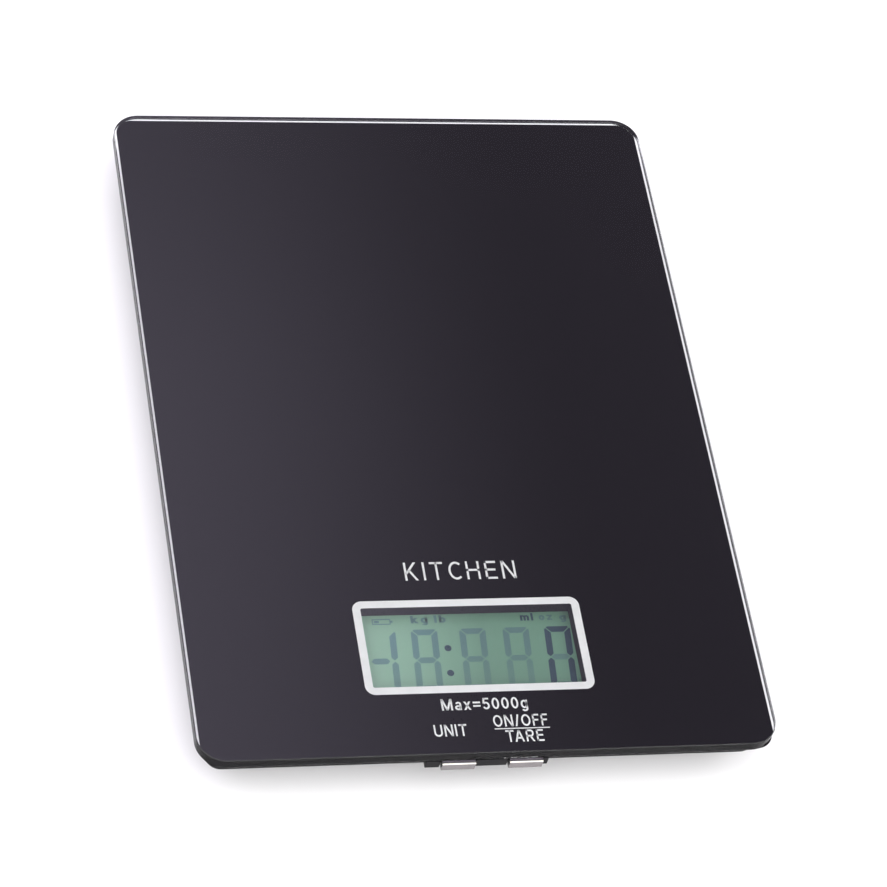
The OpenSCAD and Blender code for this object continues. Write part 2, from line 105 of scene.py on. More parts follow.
# The display is painted paler, as painted light, from its left end to this stretch of x, and its segments
# fainter over this stretch of y
PAINTED_LIGHT_X, FAINTER_Y = (-0.024, 0.004), (-0.072, -0.064)


def tint(code):
    """Linear red, green, blue and alpha of a colour written as six hexadecimal digits."""
    shown = np.array([int(code[i:i + 2], 16) for i in (1, 3, 5)]) / 255
    linear = np.where(shown <= 0.04045, shown / 12.92, ((shown + 0.055) / 1.055) ** 2.4)
    return (*linear.tolist(), 1.0)


def length(name, description, millimetres):
    """A length setting whose default is given in millimetres."""
    return FloatProperty(name=name, description=description, default=millimetres * MM, unit="LENGTH",
                         precision=5)


def colour(name, description, code):
    """A colour setting whose default is a written colour."""
    return FloatVectorProperty(name=name, description=description, default=tint(code), size=4,
                               subtype="COLOR", min=0, max=1)


def angle(name, description, degrees):
    """An angle setting whose default is given in degrees."""
    return FloatProperty(name=name, description=description, default=math.radians(degrees), subtype="ANGLE")


def amount(name, description, value):
    """A plain number setting."""
    return FloatProperty(name=name, description=description, default=value)


# ---- Settings ----

class GlassSettings(PropertyGroup):
    """The tempered glass and what is printed under it."""
    corner: length("Corner radius", "Radius of the glass's corners, seen from above", 7)
    arris: length("Arris", "Width of the ground bevel along the glass's edges", 0.2)
    border_left: length("Clear border, left", "Clear glass between the black print and the left edge", 1.08)
    border_right: length("Clear border, right", "Clear glass between the black print and the right edge", 0.62)
    border_front: length("Clear border, front", "Clear glass between the black print and the front edge", 0.45)
    border_back: length("Clear border, back", "Clear glass between the black print and the back edge", 0.5)
    print_corner: length("Print corner", "Radius of the black print's corners", 4.4)
    window_width: length("Window width", "Clear window over the display, side to side", 52.75)
    window_length: length("Window length", "Clear window over the display, front to back", 22.3)
    frame_line: length("Frame line", "Width of the line printed round the window", 2)
    frame_corner: length("Frame corner", "Outer corner radius of the printed line", 2.5)
    ink: colour("Ink", "The black back print", "#0b0a0c")
    legend: colour("Legends", "White legends and the line round the window", "#f8f8f7")
    edge_tint: colour("Edge tint", "Colour of the glass seen through its edge", "#dfe6e4")


class DisplaySettings(PropertyGroup):
    """The liquid crystal display."""
    back: colour("Background", "The reflector behind the segments", "#69937b")
    # The reflector's paler left end is painted light: one even reflector, made lighter where more light falls on
    # it.
    back_painted_light: colour("Lit background", "The reflector at its lighter left end", "#96bfa5")
    ghost: colour("Resting segments", "Segments that are switched off", "#537673")
    # The resting segments' lighter left end is painted light, like the reflector's.
    ghost_painted_light: colour("Lit resting segments", "Resting segments at the display's lighter left end", "#648c90")
    dark: colour("Dark segments", "Segments that are switched on", "#284250")
    digit_width: length("Digit width", "Outer width of a digit", 6.6)
    digit_height: length("Digit height", "Outer height of a digit", 17.4)
    bar: length("Bar", "Thickness of a segment", 1.6)
    gap: length("Gap", "Gap between segments", 0.34)
    corner: length("Cut corner", "How much is cut off a digit's outer corners", 0.7)
    lean: amount("Lean", "How far a digit leans for each unit of its height", 0.055)


class KeySettings(PropertyGroup):
    """The two silver keys at the front edge."""
    silver: colour("Silver", "The keys' satin plating", "#8a8686")
    # The chamfer's colour is a painted highlight. It is the keys' plating polished smoother, with its colour
    # made far lighter to paint the bright line of light along a key's front edge.
    bright: colour("Bright chamfer", "The polished chamfer along a key's front", "#f2eee6")
    chamfer: length("Chamfer", "Height and depth of the chamfer along a key's front", 0.24)
    cap_depth: length("Cap depth", "Depth of a key cap, front to back", 2.6)


class CaseSettings(PropertyGroup):
    """The moulded base, its door and its rubber feet."""
    black: colour("Black plastic", "The moulded base", "#0c0b0e")
    ease: length("Eased edges", "Width of the softened edges of the mouldings", 0.25)
    rubber: colour("Rubber", "The feet", "#2c2b2d")
    groove: length("Groove depth", "Depth of the grip rings under a foot", 0.3)


class WorksSettings(PropertyGroup):
    """The weighing works, the board and the battery."""
    aluminium: colour("Aluminium", "The weighing beam and its spacers", "#c9cbcd")
    zinc: colour("Zinc plate", "The carrier plate under the glass", "#b4b9bd")
    steel: colour("Screw steel", "The screws", "#a9aaad")
    mask: colour("Solder mask", "The circuit board", "#1e5a36")
    wire: length("Wire radius", "Outer radius of a lead", 0.45)


class StageSettings(PropertyGroup):
    """The floor, the light and the camera."""
    floor: colour("Floor", "The pale floor", "#ebeaeb")
    sky: amount("Room light", "Brightness of the room", 1.0)
    softbox: FloatProperty(name="Softbox", description="Power of the softbox", default=24.0, unit="POWER")
    turn: angle("Camera turn", "How far the camera stands to the left of the front", 24.36)
    rise: angle("Camera rise", "Height of the camera above the horizon", 52.54)
    roll: angle("Camera roll", "How far the camera is rolled", 19.07)
    distance: length("Camera distance", "Distance from the point aimed at", 933.6)
    lens: amount("Lens", "Focal length in millimetres on a 36 mm wide sensor", 152.46)


SETTINGS = {
    "scale_glass": GlassSettings,
    "scale_display": DisplaySettings,
    "scale_keys": KeySettings,
    "scale_case": CaseSettings,
    "scale_works": WorksSettings,
    "scale_stage": StageSettings,
}


# ---- Surfaces ----

def quads(rows, columns, wrap_rows=False):
    """Faces of a grid whose columns run round in a ring; wrap_rows joins the last row to the first."""
    row, column = np.meshgrid(np.arange(rows if wrap_rows else rows - 1), np.arange(columns), indexing="ij")
    up, along = (row + 1) % rows, (column + 1) % columns
    corners = [row * columns + column, row * columns + along, up * columns + along, up * columns + column]
    return np.stack(corners, -1).reshape(-1, 4).tolist()


def end_caps(rings, sides):
    """The faces that close a stack of rings at its first ring and at its last."""
    return [list(range(sides))[::-1], list(range((rings - 1) * sides, rings * sides))]


def round_outline(width, length, radius, inset=0, arc=12):
    """A rectangle with rounded corners: each corner's centre plus (radius - inset) times (cos a, sin a),
    where a runs through a quarter turn at each of the four corners."""
    a = np.arange(4)[:, None] * np.pi / 2 + np.linspace(0, np.pi / 2, arc + 1)
    x = np.array([1, -1, -1, 1])[:, None] * (width / 2 - radius) + (radius - inset) * np.cos(a)
    y = np.array([1, 1, -1, -1])[:, None] * (length / 2 - radius) + (radius - inset) * np.sin(a)
    return np.stack([x, y], -1).reshape(-1, 2)


def rectangle(left, front, right, back):
    """The four corners of a rectangle, given in millimetres."""
    return np.array([[left, front], [right, front], [right, back], [left, back]]) * MM


def rimmed_slab(width, length, radius, profile, arc=12):
    """A slab whose rim follows a profile of (inset, height): ring k is the rounded outline drawn in by inset k
    at height k, and flat faces close the first and the last ring."""
    rim = np.asarray(profile, float)
    flat = np.stack([round_outline(width, length, radius, inset, arc) for inset in rim[:, 0]])
    rings, sides = flat.shape[:2]
    points = np.dstack([flat, np.repeat(rim[:, 1:], sides, 1)]).reshape(-1, 3)
    return points, quads(rings, sides) + end_caps(rings, sides)


def flat_ring(outer, inner, low, high):
    """A thin printed band: four rings, outer low, outer high, inner high and inner low, joined in a loop."""
    flat = np.stack([outer, outer, inner, inner])
    heights = np.repeat(np.array([low, high, high, low])[:, None], len(outer), 1)
    return np.dstack([flat, heights]).reshape(-1, 3), quads(4, len(outer), wrap_rows=True)


def lathe(profile, centre, sides=64):
    """A profile of (radius, height) turned about an upright axis: x and y are radius times (cos a, sin a)."""
    turned = np.asarray(profile, float)
    a = np.linspace(0, 2 * np.pi, sides, endpoint=False)
    x = centre[0] + turned[:, :1] * np.cos(a)
    y = centre[1] + turned[:, :1] * np.sin(a)
    points = np.stack([x, y, np.repeat(turned[:, 1:], sides, 1)], -1).reshape(-1, 3)
    open_ends = (turned[0, 0] > 0, turned[-1, 0] > 0)
    caps = [cap for cap, is_open in zip(end_caps(len(turned), sides), open_ends) if is_open]
    return points, quads(len(turned), sides) + caps


def soft_block(low, high, radius, arc=4):
    """A block with rounded edges: the corner of a smaller block plus radius times the unit vector
    (cos v cos u, cos v sin u, sin v), where u runs round and v runs from the lower pole to the upper one."""
    low, high = np.asarray(low, float), np.asarray(high, float)
    radius = min(radius, 0.49 * (high - low).min())
    quarter = np.linspace(0, np.pi / 2, arc + 1)
    u = (np.arange(4)[:, None] * np.pi / 2 + quarter).ravel()
    side_x = np.repeat([1, -1, -1, 1], arc + 1)
    side_y = np.repeat([1, 1, -1, -1], arc + 1)
    v = np.concatenate([quarter - np.pi / 2, quarter])[:, None]
    side_z = np.repeat([-1, 1], arc + 1)[:, None]
    inner, middle = (high - low) / 2 - radius, (low + high) / 2
    x = middle[0] + side_x * inner[0] + radius * np.cos(v) * np.cos(u)
    y = middle[1] + side_y * inner[1] + radius * np.cos(v) * np.sin(u)
    z = middle[2] + side_z * inner[2] + radius * np.sin(v) + 0 * u
    points = np.stack([x, y, z], -1).reshape(-1, 3)
    rows, columns = len(v), len(u)
    poles = np.arange(4) * (arc + 1)
    faces = quads(rows, columns)
    faces += [poles[::-1].tolist(), (poles + (rows - 1) * columns).tolist()]
    return points, faces


def prism(outline, low, high):
    """A flat outline given thickness: one ring at each height, closed above and below."""
    count = len(outline)
    points = np.vstack([np.column_stack([outline, np.full(count, z)]) for z in (low, high)])
    return points, quads(2, count) + end_caps(2, count)


def along_x(outline, left, right):
    """An outline in the upright plane from front to back, (y, z), carried along x from left to right."""
    points, faces = prism(np.asarray(outline, float), left, right)
    return points[:, [2, 0, 1]], faces


def rounded_path(corners, radius, steps=6):
    """A path with rounded bends: each inner corner becomes a quadratic curve that starts and ends
    radius before and after it."""
    corners = np.asarray(corners, float)
    legs = np.diff(corners, axis=0)
    sizes = np.linalg.norm(legs, axis=1)
    along = legs / sizes[:, None]
    cut = np.minimum(radius, 0.45 * np.minimum(sizes[:-1], sizes[1:]))[:, None]
    before, after = corners[1:-1] - along[:-1] * cut, corners[1:-1] + along[1:] * cut
    t = np.linspace(0, 1, steps + 1)[None, :, None]
    bends = (1 - t) ** 2 * before[:, None] + 2 * t * (1 - t) * corners[1:-1, None] + t ** 2 * after[:, None]
    return np.vstack([corners[:1], bends.reshape(-1, 3), corners[-1:]])


def tube(path, radius, sides=14):
    """A round lead: at each station of the path a circle of that radius, in the plane across the path,
    carried from one station to the next without twisting."""
    path = np.asarray(path, float)
    along = np.gradient(path, axis=0)
    along /= np.linalg.norm(along, axis=1)[:, None]
    seed = np.array([0.0, 0.0, 1.0]) if abs(along[0, 2]) < 0.9 else np.array([1.0, 0.0, 0.0])
    across = []
    for direction in along:
        seed = seed - direction * (seed @ direction)
        seed = seed / np.linalg.norm(seed)
        across.append(seed)
    across = np.array(across)
    other = np.cross(along, across)
    a = np.linspace(0, 2 * np.pi, sides, endpoint=False)[None, :, None]
    points = path[:, None] + radius * (np.cos(a) * across[:, None] + np.sin(a) * other[:, None])
    return points.reshape(-1, 3), quads(len(path), sides) + end_caps(len(path), sides)


# ---- Making pieces ----

def close_up(mesh):
    """Joins the mesh's doubled points and turns its faces outwards."""
    work = bmesh.new()
    work.from_mesh(mesh)
    bmesh.ops.remove_doubles(work, verts=work.verts, dist=1e-7)
    bmesh.ops.recalc_face_normals(work, faces=work.faces)
    work.to_mesh(mesh)
    work.free()


def piece(name, shells, finishes, body, replaces=(), crease=32):
    """One piece made of shells, each (points, faces, finish number), which rides on a body."""
    points, faces, numbers, start = [], [], [], 0
    for shell_points, shell_faces, number in shells:
        points.append(shell_points)
        faces += [[start + i for i in face] for face in shell_faces]
        numbers += [number] * len(shell_faces)
        start += len(shell_points)
    mesh = bpy.data.meshes.new(name)
    mesh.from_pydata(np.vstack(points).tolist(), [], faces)
    mesh.polygons.foreach_set("material_index", numbers)
    close_up(mesh)
    return set_out(name, mesh, finishes, body, replaces, crease)


def linked(name, data):
    """A new object in the scene."""
    made = bpy.data.objects.new(name, data)
    bpy.context.scene.collection.objects.link(made)
    return made


def set_out(name, mesh, finishes, body, replaces=(), crease=32):
    """Puts a finished mesh in the scene: its finishes, smooth shading with creases, its body, and hides the CAD
    nodes it replaces.
    """
    for finish in finishes:
        mesh.materials.append(finish)
    mesh.shade_smooth()
    mesh.set_sharp_from_angle(angle=math.radians(crease))
    made = linked(name, mesh)
    if body:
        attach(made, body)
    if replaces:
        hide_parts(*replaces)
    return made


def ease_edges(made, width):
    """Softens a piece's sharp edges with a narrow bevel."""
    bevel = made.modifiers.new("eased_edges", "BEVEL")
    bevel.width = width
    bevel.segments = 2
    bevel.limit_method = "ANGLE"
    bevel.angle_limit = math.radians(35)
    bevel.use_clamp_overlap = True
    return made


def merged_copy(node, name, finish, body):
    """A CAD node's copy with its loose triangles merged, which stands for the node; it has no body if it
    bends."""
    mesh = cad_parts[node].data.copy()
    mesh.name = name
    mesh.materials.clear()
    work = bmesh.new()
    work.from_mesh(mesh)
    bmesh.ops.remove_doubles(work, verts=work.verts, dist=2e-6)
    bmesh.ops.dissolve_limit(work, angle_limit=math.radians(0.6), verts=work.verts, edges=work.edges)
    work.to_mesh(mesh)
    work.free()
    return set_out(name, mesh, [finish], body, [node], crease=28)


def dress(node, finish):
    """Gives a CAD node a finish, and leaves its shape alone."""
    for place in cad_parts[node].material_slots:
        place.material = finish


def arc(x, y, radius_x, radius_y, start, stop, steps=16):
    """Part of an ellipse: centre plus (radius_x cos a, radius_y sin a), where a runs from start to stop
    degrees."""
    a = np.radians(np.linspace(start, stop, steps + 1))
    return np.column_stack([x + radius_x * np.cos(a), y + radius_y * np.sin(a)])


def stroke_letters(t):
    """The letters' strokes in a cell of height 1 for a stroke of width t: bars from (x, y) to (x, y) with level
    ends, level rules from x to x at a height, and curves."""
    h, low = t / 2, 0.73
    stem = ("bar", h, 0, h, 1)
    bowl = ("curve", arc(0.26, low / 2, 0.26 - h, low / 2 - h, 0, 360))
    arches = [("curve", arc(x, 0.5, 0.2 - h / 2, low - 0.5 - h, 180, 0)) for x in (0.2 + h / 2, 0.6 - h / 2)]
    return {
        "U": [("bar", h, 0.33, h, 1), ("bar", 0.72 - h, 0.33, 0.72 - h, 1),
              ("curve", arc(0.36, 0.33, 0.36 - h, 0.33 - h, 180, 360))],
        "N": [stem, ("bar", 0.74 - h, 0, 0.74 - h, 1), ("bar", h + 0.02, 1, 0.72 - h, 0)],
        "I": [stem],
        "T": [("rule", 0, 0.7, 1 - h), ("bar", 0.35, 0, 0.35, 1)],
        "O": [("curve", arc(0.4, 0.5, 0.4 - h, 0.5 - h, 0, 360))],
        "/": [("bar", 0.04, 0, 0.28, 1)],
        "F": [stem, ("rule", 0, 0.58, 1 - h), ("rule", 0, 0.52, 0.5)],
        "A": [("bar", h, 0, 0.4, 1), ("bar", 0.8 - h, 0, 0.4, 1), ("rule", 0.18, 0.62, 0.32)],
        "R": [stem, ("rule", 0, 0.42, 1 - h), ("rule", 0, 0.42, 0.47), ("bar", 0.36, 0.47, 0.64, 0),
              ("curve", arc(0.42, (1.47 - h) / 2, 0.26 - h, (0.53 - h) / 2, 90, -90))],
        "E": [stem, ("rule", 0, 0.62, 1 - h), ("rule", 0, 0.57, 0.52), ("rule", 0, 0.62, h)],
        "M": [stem, ("bar", 0.84 - h, 0, 0.84 - h, 1), ("bar", h + 0.02, 1, 0.42, 0),
              ("bar", 0.82 - h, 1, 0.42, 0)],
        "K": [stem, ("bar", 0.08, 0.36, 0.6, 1), ("bar", 0.26, 0.56, 0.64, 0)],
        "C": [("curve", arc(0.4, 0.5, 0.4 - h, 0.5 - h, 48, 312))],
        "H": [stem, ("bar", 0.72 - h, 0, 0.72 - h, 1), ("rule", 0, 0.72, 0.52)],
        "a": [("curve", arc(0.28, 0.5, 0.22 - h, low - 0.5 - h, 165, 0)), ("bar", 0.5 - h, 0, 0.5 - h, 0.5),
              ("curve", arc(0.24, 0.215, 0.24 - h, 0.215 - h, 0, 360))],
        "x": [("bar", 0.07, 0, 0.45, low), ("bar", 0.07, low, 0.45, 0)],
        "=": [("rule", 0, 0.56, 0.62), ("rule", 0, 0.56, 0.32)],
        "5": [("rule", 0.13, 0.53, 1 - h), ("bar", 0.17, 1, 0.11, 0.52),
              ("curve", arc(0.28, 0.33, 0.28 - h, 0.33 - h, 140, -155))],
        "0": [("curve", arc(0.28, 0.5, 0.28 - h, 0.5 - h, 0, 360))],
        "g": [bowl, ("bar", 0.52 - h, -0.02, 0.52 - h, low),
              ("curve", arc(0.27, -0.02, 0.25 - h, 0.25 - h, 0, -155))],
        "k": [stem, ("bar", 0.08, 0.25, 0.42, low), ("bar", 0.2, 0.42, 0.46, 0)],
        "l": [stem],
        "b": [stem, bowl],
        "m": [("bar", h, 0, h, low), ("bar", 0.4, 0, 0.4, 0.5), ("bar", 0.8 - h, 0, 0.8 - h, 0.5),
              *arches],
        "o": [bowl],
        "z": [("rule", 0, 0.46, low - h), ("rule", 0, 0.46, h), ("bar", 0.08, h, 0.38, low - h)],
    }


def ribbon(path, width):
    """A stroke's outline: the path moved half a width to either side, along the mitre of the normals that meet
    at each point; a closed path gives an outer and an inner ring."""
    legs = np.diff(path, axis=0)
    across = np.column_stack([-legs[:, 1], legs[:, 0]]) / np.linalg.norm(legs, axis=1)[:, None]
    closed = np.allclose(path[0], path[-1])
    first, last = (across[-1:], across[:1]) if closed else (across[:1], across[-1:])
    before, after = np.vstack([first, across]), np.vstack([across, last])
    mitre = (before + after) / (1 + (before * after).sum(1))[:, None] * width / 2
    return path + mitre, path - mitre, closed


def stroke_shells(stroke, t):
    """A stroke as flat outlines: a list of (outer, inner) rings or (outline, None)."""
    kind, *numbers = stroke
    if kind == "curve":
        left, right, closed = ribbon(numbers[0], t)
        return (left[:-1], right[:-1]) if closed else (np.vstack([left, right[::-1]]), None)
    if kind == "rule":
        x0, x1, y = numbers
        return np.array([[x0, y - t / 2], [x1, y - t / 2], [x1, y + t / 2], [x0, y + t / 2]]), None
    x0, y0, x1, y1 = numbers
    half = t / 2 * math.hypot(x1 - x0, y1 - y0) / abs(y1 - y0)
    return np.array([[x0 - half, y0], [x0 + half, y0], [x1 + half, y1], [x1 - half, y1]]), None


def lettering(word, low, high, stroke, gap=LETTER_GAP):
    """A word in plain strokes, fitted into its box (left, front, right, back) in millimetres, each stroke made
    a solid between two heights."""
    text, box = word[0], np.array(word[1]) * MM
    letters = stroke_letters(stroke)
    outlines, pen = [], 0.0
    for place, letter in enumerate(text):
        strokes = [stroke_shells(entry, stroke) for entry in letters[letter]]
        ends = np.vstack([ring for pair in strokes for ring in pair if ring is not None])
        left, right = ends[:, 0].min(), ends[:, 0].max()
        shift = np.array([pen - left, 0])
        outlines += [(outer + shift, None if inner is None else inner + shift) for outer, inner in strokes]
        pen += right - left + gap
        if letter + text[place + 1:place + 2] in CLOSE_PAIRS:
            pen -= CLOSE_BY
    ends = np.vstack([ring for pair in outlines for ring in pair if ring is not None])
    least, size = ends.min(0), np.ptp(ends, axis=0)
    corner, span = box[:2], box[2:] - box[:2]
    shells = []
    for outer, inner in outlines:
        outer = corner + (outer - least) / size * span
        if inner is None:
            made = prism(outer, low, high)
        else:
            made = flat_ring(outer, corner + (inner - least) / size * span, low, high)
        shells.append((*made, 0))
    return shells


# ---- Finishes ----

BANDS_PER_METRE = 0.314159  # the wave texture's scale that gives one band a metre


class Finish:
    """A procedural finish built node by node on a Principled surface, in the piece's own coordinates."""

    def __init__(self, name, **surface):
        self.material = bpy.data.materials.new(name)
        self.material.use_nodes = True
        self.tree = self.material.node_tree
        self.tree.nodes.clear()
        self.surface = self.node("ShaderNodeBsdfPrincipled")
        self.join(self.surface.outputs[0], self.node("ShaderNodeOutputMaterial").inputs[0])
        self.place = self.node("ShaderNodeTexCoord").outputs["Object"]
        for socket, value in surface.items():
            self.surface.inputs[socket.replace("_", " ")].default_value = value

    def node(self, kind, **settings):
        made = self.tree.nodes.new(kind)
        for key, value in settings.items():
            setattr(made, key, value)
        return made

    def join(self, output, target):
        self.tree.links.new(output, target)

    def stretched(self, stretch, turn=0.0):
        """The piece's coordinates, stretched and turned about the upright axis."""
        mapping = self.node("ShaderNodeMapping", vector_type="POINT")
        mapping.inputs["Rotation"].default_value = (0, 0, turn)
        mapping.inputs["Scale"].default_value = stretch
        self.join(self.place, mapping.inputs["Vector"])
        return mapping.outputs[0]

    def noise(self, size, detail=2.0, roughness=0.5, where=None):
        """Soft noise whose patches are about size metres across."""
        made = self.node("ShaderNodeTexNoise")
        made.inputs["Scale"].default_value = 1 / size
        made.inputs["Detail"].default_value = detail
        made.inputs["Roughness"].default_value = roughness
        self.join(where or self.place, made.inputs["Vector"])
        return made.outputs["Fac"]

    def cells(self, size, output="Distance"):
        """Cells about size metres across."""
        made = self.node("ShaderNodeTexVoronoi", feature="F1")
        made.inputs["Scale"].default_value = 1 / size
        self.join(self.place, made.inputs["Vector"])
        return made.outputs[output]

    def bands(self, size, direction="X"):
        """Even bands, one every size metres."""
        made = self.node("ShaderNodeTexWave", bands_direction=direction)
        made.inputs["Scale"].default_value = BANDS_PER_METRE / size
        self.join(self.place, made.inputs["Vector"])
        return made.outputs["Fac"]

    def along(self, axis, low, high, start, stop):
        """Goes from low to high between two places on an axis, 0 for x and 1 for y."""
        split = self.node("ShaderNodeSeparateXYZ")
        self.join(self.place, split.inputs[0])
        return self.spread(split.outputs[axis], low, high, start, stop)

    def spread(self, value, low, high, start=0.3, stop=0.7):
        """Turns a pattern's start to stop into low to high."""
        made = self.node("ShaderNodeMapRange", clamp=True)
        for socket, number in zip(("From Min", "From Max", "To Min", "To Max"), (start, stop, low, high)):
            made.inputs[socket].default_value = number
        self.join(value, made.inputs["Value"])
        return made.outputs[0]

    def blend(self, value, first, second, start=0.3, stop=0.7):
        """A colour between two colours, as a pattern goes from start to stop."""
        ramp = self.node("ShaderNodeValToRGB")
        ramp.color_ramp.elements[0].position = start
        ramp.color_ramp.elements[1].position = stop
        ramp.color_ramp.elements[0].color = first
        ramp.color_ramp.elements[1].color = second
        self.join(value, ramp.inputs[0])
        return ramp.outputs["Color"]

    def over(self, value, under, on_top):
        """One colour laid over another where a pattern is 1."""
        mix = self.node("ShaderNodeMix", data_type="RGBA")
        self.join(value, mix.inputs["Factor"])
        for socket, source in ((6, under), (7, on_top)):
            if isinstance(source, bpy.types.NodeSocket):
                self.join(source, mix.inputs[socket])
            else:
                mix.inputs[socket].default_value = source
        return mix.outputs[2]

    def coloured(self, output):
        self.join(output, self.surface.inputs["Base Color"])
        return self

    def rough(self, output):
        self.join(output, self.surface.inputs["Roughness"])
        return self

    def bumped(self, heights):
        """Bumps, each (pattern, depth in metres, strength), one over the other."""
        last = None
        for pattern, depth, strength in heights:
            bump = self.node("ShaderNodeBump")
            bump.inputs["Distance"].default_value = depth
            bump.inputs["Strength"].default_value = strength
            self.join(pattern, bump.inputs["Height"])
            if last:
                self.join(last, bump.inputs["Normal"])
            last = bump.outputs[0]
        self.join(last, self.surface.inputs["Normal"])
        return self


def shade(colour_value, factor):
    """A colour made lighter or darker."""
    return (*[min(1.0, channel * factor) for channel in colour_value[:3]], 1.0)


def clear_glass():
    """Tempered soda-lime glass: clear, with faint wipe marks that change its gloss."""
    made = Finish("clear_glass", Base_Color=tint("#fbfdfc"), Transmission_Weight=1.0, IOR=1.52)
    wiped = made.noise(0.03, 3, 0.6, made.stretched((1, 0.25, 1), turn=0.4))
    return made.rough(made.spread(wiped, 0.0, 0.01, 0.35, 0.75)).material


def polished_edge(settings):
    """The glass's upright edge: polished, with faint grinding lines along it, and with an index of refraction
    set below real glass's so that it reflects little."""
    made = Finish("polished_edge", Base_Color=settings.edge_tint, Transmission_Weight=1.0, IOR=1.15)
    lines = made.noise(0.0002, 2, 0.6, made.stretched((0.05, 0.05, 1)))
    made.rough(made.spread(made.noise(0.002, 3), 0.12, 0.2))
    return made.bumped([(lines, 0.000008, 0.15)]).material


def ground_arris(settings):
    """The narrow bevels along the glass's edges, left frosted by the grinding wheel."""
    made = Finish("ground_arris", Base_Color=settings.edge_tint, Transmission_Weight=1.0, IOR=1.52)
    grit = made.noise(0.0003, 3, 0.7)
    made.rough(made.spread(grit, 0.1, 0.2))
    return made.bumped([(grit, 0.00001, 0.3)]).material


def printed_ink(name, value, gloss, speck):
    """Screen ink under glass: even, with the faint mottle of a printed film and tiny pinholes."""
    made = Finish(name, Specular_IOR_Level=0.0)
    mottle = made.noise(0.0035, 4, 0.6)
    pinholes = made.spread(made.cells(0.0011), 1.0, 0.0, 0.0, speck)
    film = made.blend(mottle, shade(value, 0.97), shade(value, 1.03))
    made.coloured(made.over(pinholes, film, shade(value, 0.9)))
    return made.rough(made.spread(mottle, gloss, gloss + 0.12)).material


def moulded_plastic(name, value, roughness=0.42):
    """Moulded plastic with a fine spark-eroded texture, flow marks and a little dust."""
    grain, depth = 0.00035, 0.00003
    made = Finish(name, Specular_IOR_Level=0.11)
    flow = made.noise(0.02, 4, 0.55)
    fine = made.noise(grain, 3, 0.7)
    pits = made.cells(grain * 1.6)
    dust = made.spread(made.noise(0.0006, 1, 0.4), 0.0, 0.3, 0.74, 0.84)
    body = made.blend(flow, shade(value, 0.82), shade(value, 1.25))
    made.coloured(made.over(dust, body, shade(value, 2.0)))
    made.rough(made.spread(flow, roughness - 0.05, roughness + 0.1))
    return made.bumped([(fine, depth, 0.55), (pits, depth * 0.8, 0.3)]).material


def satin_plate(name, value, gloss=0.2):
    """Satin-plated key caps: fine brushing from side to side, cloudy tone and faint handling marks."""
    made = Finish(name, Metallic=1.0)
    brushed = made.noise(0.0005, 3, 0.65, made.stretched((0.06, 1, 1)))
    cloud = made.noise(0.003, 3)
    tone = made.blend(cloud, shade(value, 0.9), shade(value, 1.1))
    made.coloured(made.over(made.spread(brushed, 0, 0.4), tone, shade(value, 0.8)))
    made.rough(made.spread(brushed, gloss, gloss + 0.12))
    return made.bumped([(brushed, 0.000006, 0.3)]).material


def moulded_rubber(value):
    """Matt rubber with a fine grain and pale bloom."""
    made = Finish("foot_rubber", Specular_IOR_Level=0.3)
    bloom = made.noise(0.003, 4, 0.65)
    made.coloured(made.blend(bloom, shade(value, 0.8), shade(value, 1.5), 0.35, 0.75))
    made.rough(made.spread(bloom, 0.62, 0.85))
    return made.bumped([(made.noise(0.00025, 3, 0.7), 0.00004, 0.5)]).material


def milled_metal(name, value, stretch=(1, 14, 1), roughness=0.3, size=0.0009):
    """Milled or brushed metal: fine lines along one direction over slow changes of tone."""
    made = Finish(name, Metallic=1.0)
    lines = made.noise(size, 3, 0.7, made.stretched(stretch))
    tone = made.noise(0.009, 3)
    base = made.blend(tone, shade(value, 0.85), shade(value, 1.05))
    made.coloured(made.over(made.spread(lines, 0, 0.5), base, shade(value, 0.7)))
    made.rough(made.spread(lines, roughness - 0.06, roughness + 0.12))
    return made.bumped([(lines, 0.00001, 0.3)]).material


def plated_sheet(value):
    """Zinc-plated sheet: spangled crystals of slightly different tone and gloss."""
    made = Finish("plated_steel", Metallic=1.0)
    crystals = made.node("ShaderNodeRGBToBW")
    made.join(made.cells(0.006, output="Color"), crystals.inputs[0])
    haze = made.noise(0.002, 3)
    made.coloured(made.blend(crystals.outputs[0], shade(value, 0.75), shade(value, 1.08), 0.1, 0.9))
    made.rough(made.spread(crystals.outputs[0], 0.26, 0.46, 0.1, 0.9))
    return made.bumped([(haze, 0.00001, 0.25)]).material


def screw_metal(value):
    """Nickel-plated screw steel with turning marks and a tone that darkens in random patches."""
    made = Finish("screw_steel", Metallic=1.0)
    turned = made.noise(0.0004, 3, 0.7, made.stretched((1, 1, 6)))
    made.coloured(made.blend(made.noise(0.0015, 3), shade(value, 0.6), value))
    made.rough(made.spread(turned, 0.24, 0.42))
    return made.bumped([(turned, 0.00001, 0.35)]).material


def foam():
    """White double-sided foam tape, open cells in its cut sides, painted darker at the cells' hollow centres as
    painted shade.
    """
    made = Finish("foam_pad", Specular_IOR_Level=0.25, Roughness=0.9)
    pores = made.cells(0.0004)
    # The pores' centres are painted grey, which is painted shade in the open cells.
    made.coloured(made.blend(pores, tint("#b9b8b4"), tint("#ecebe7"), 0.05, 0.45))
    return made.bumped([(pores, 0.00008, 0.7)]).material


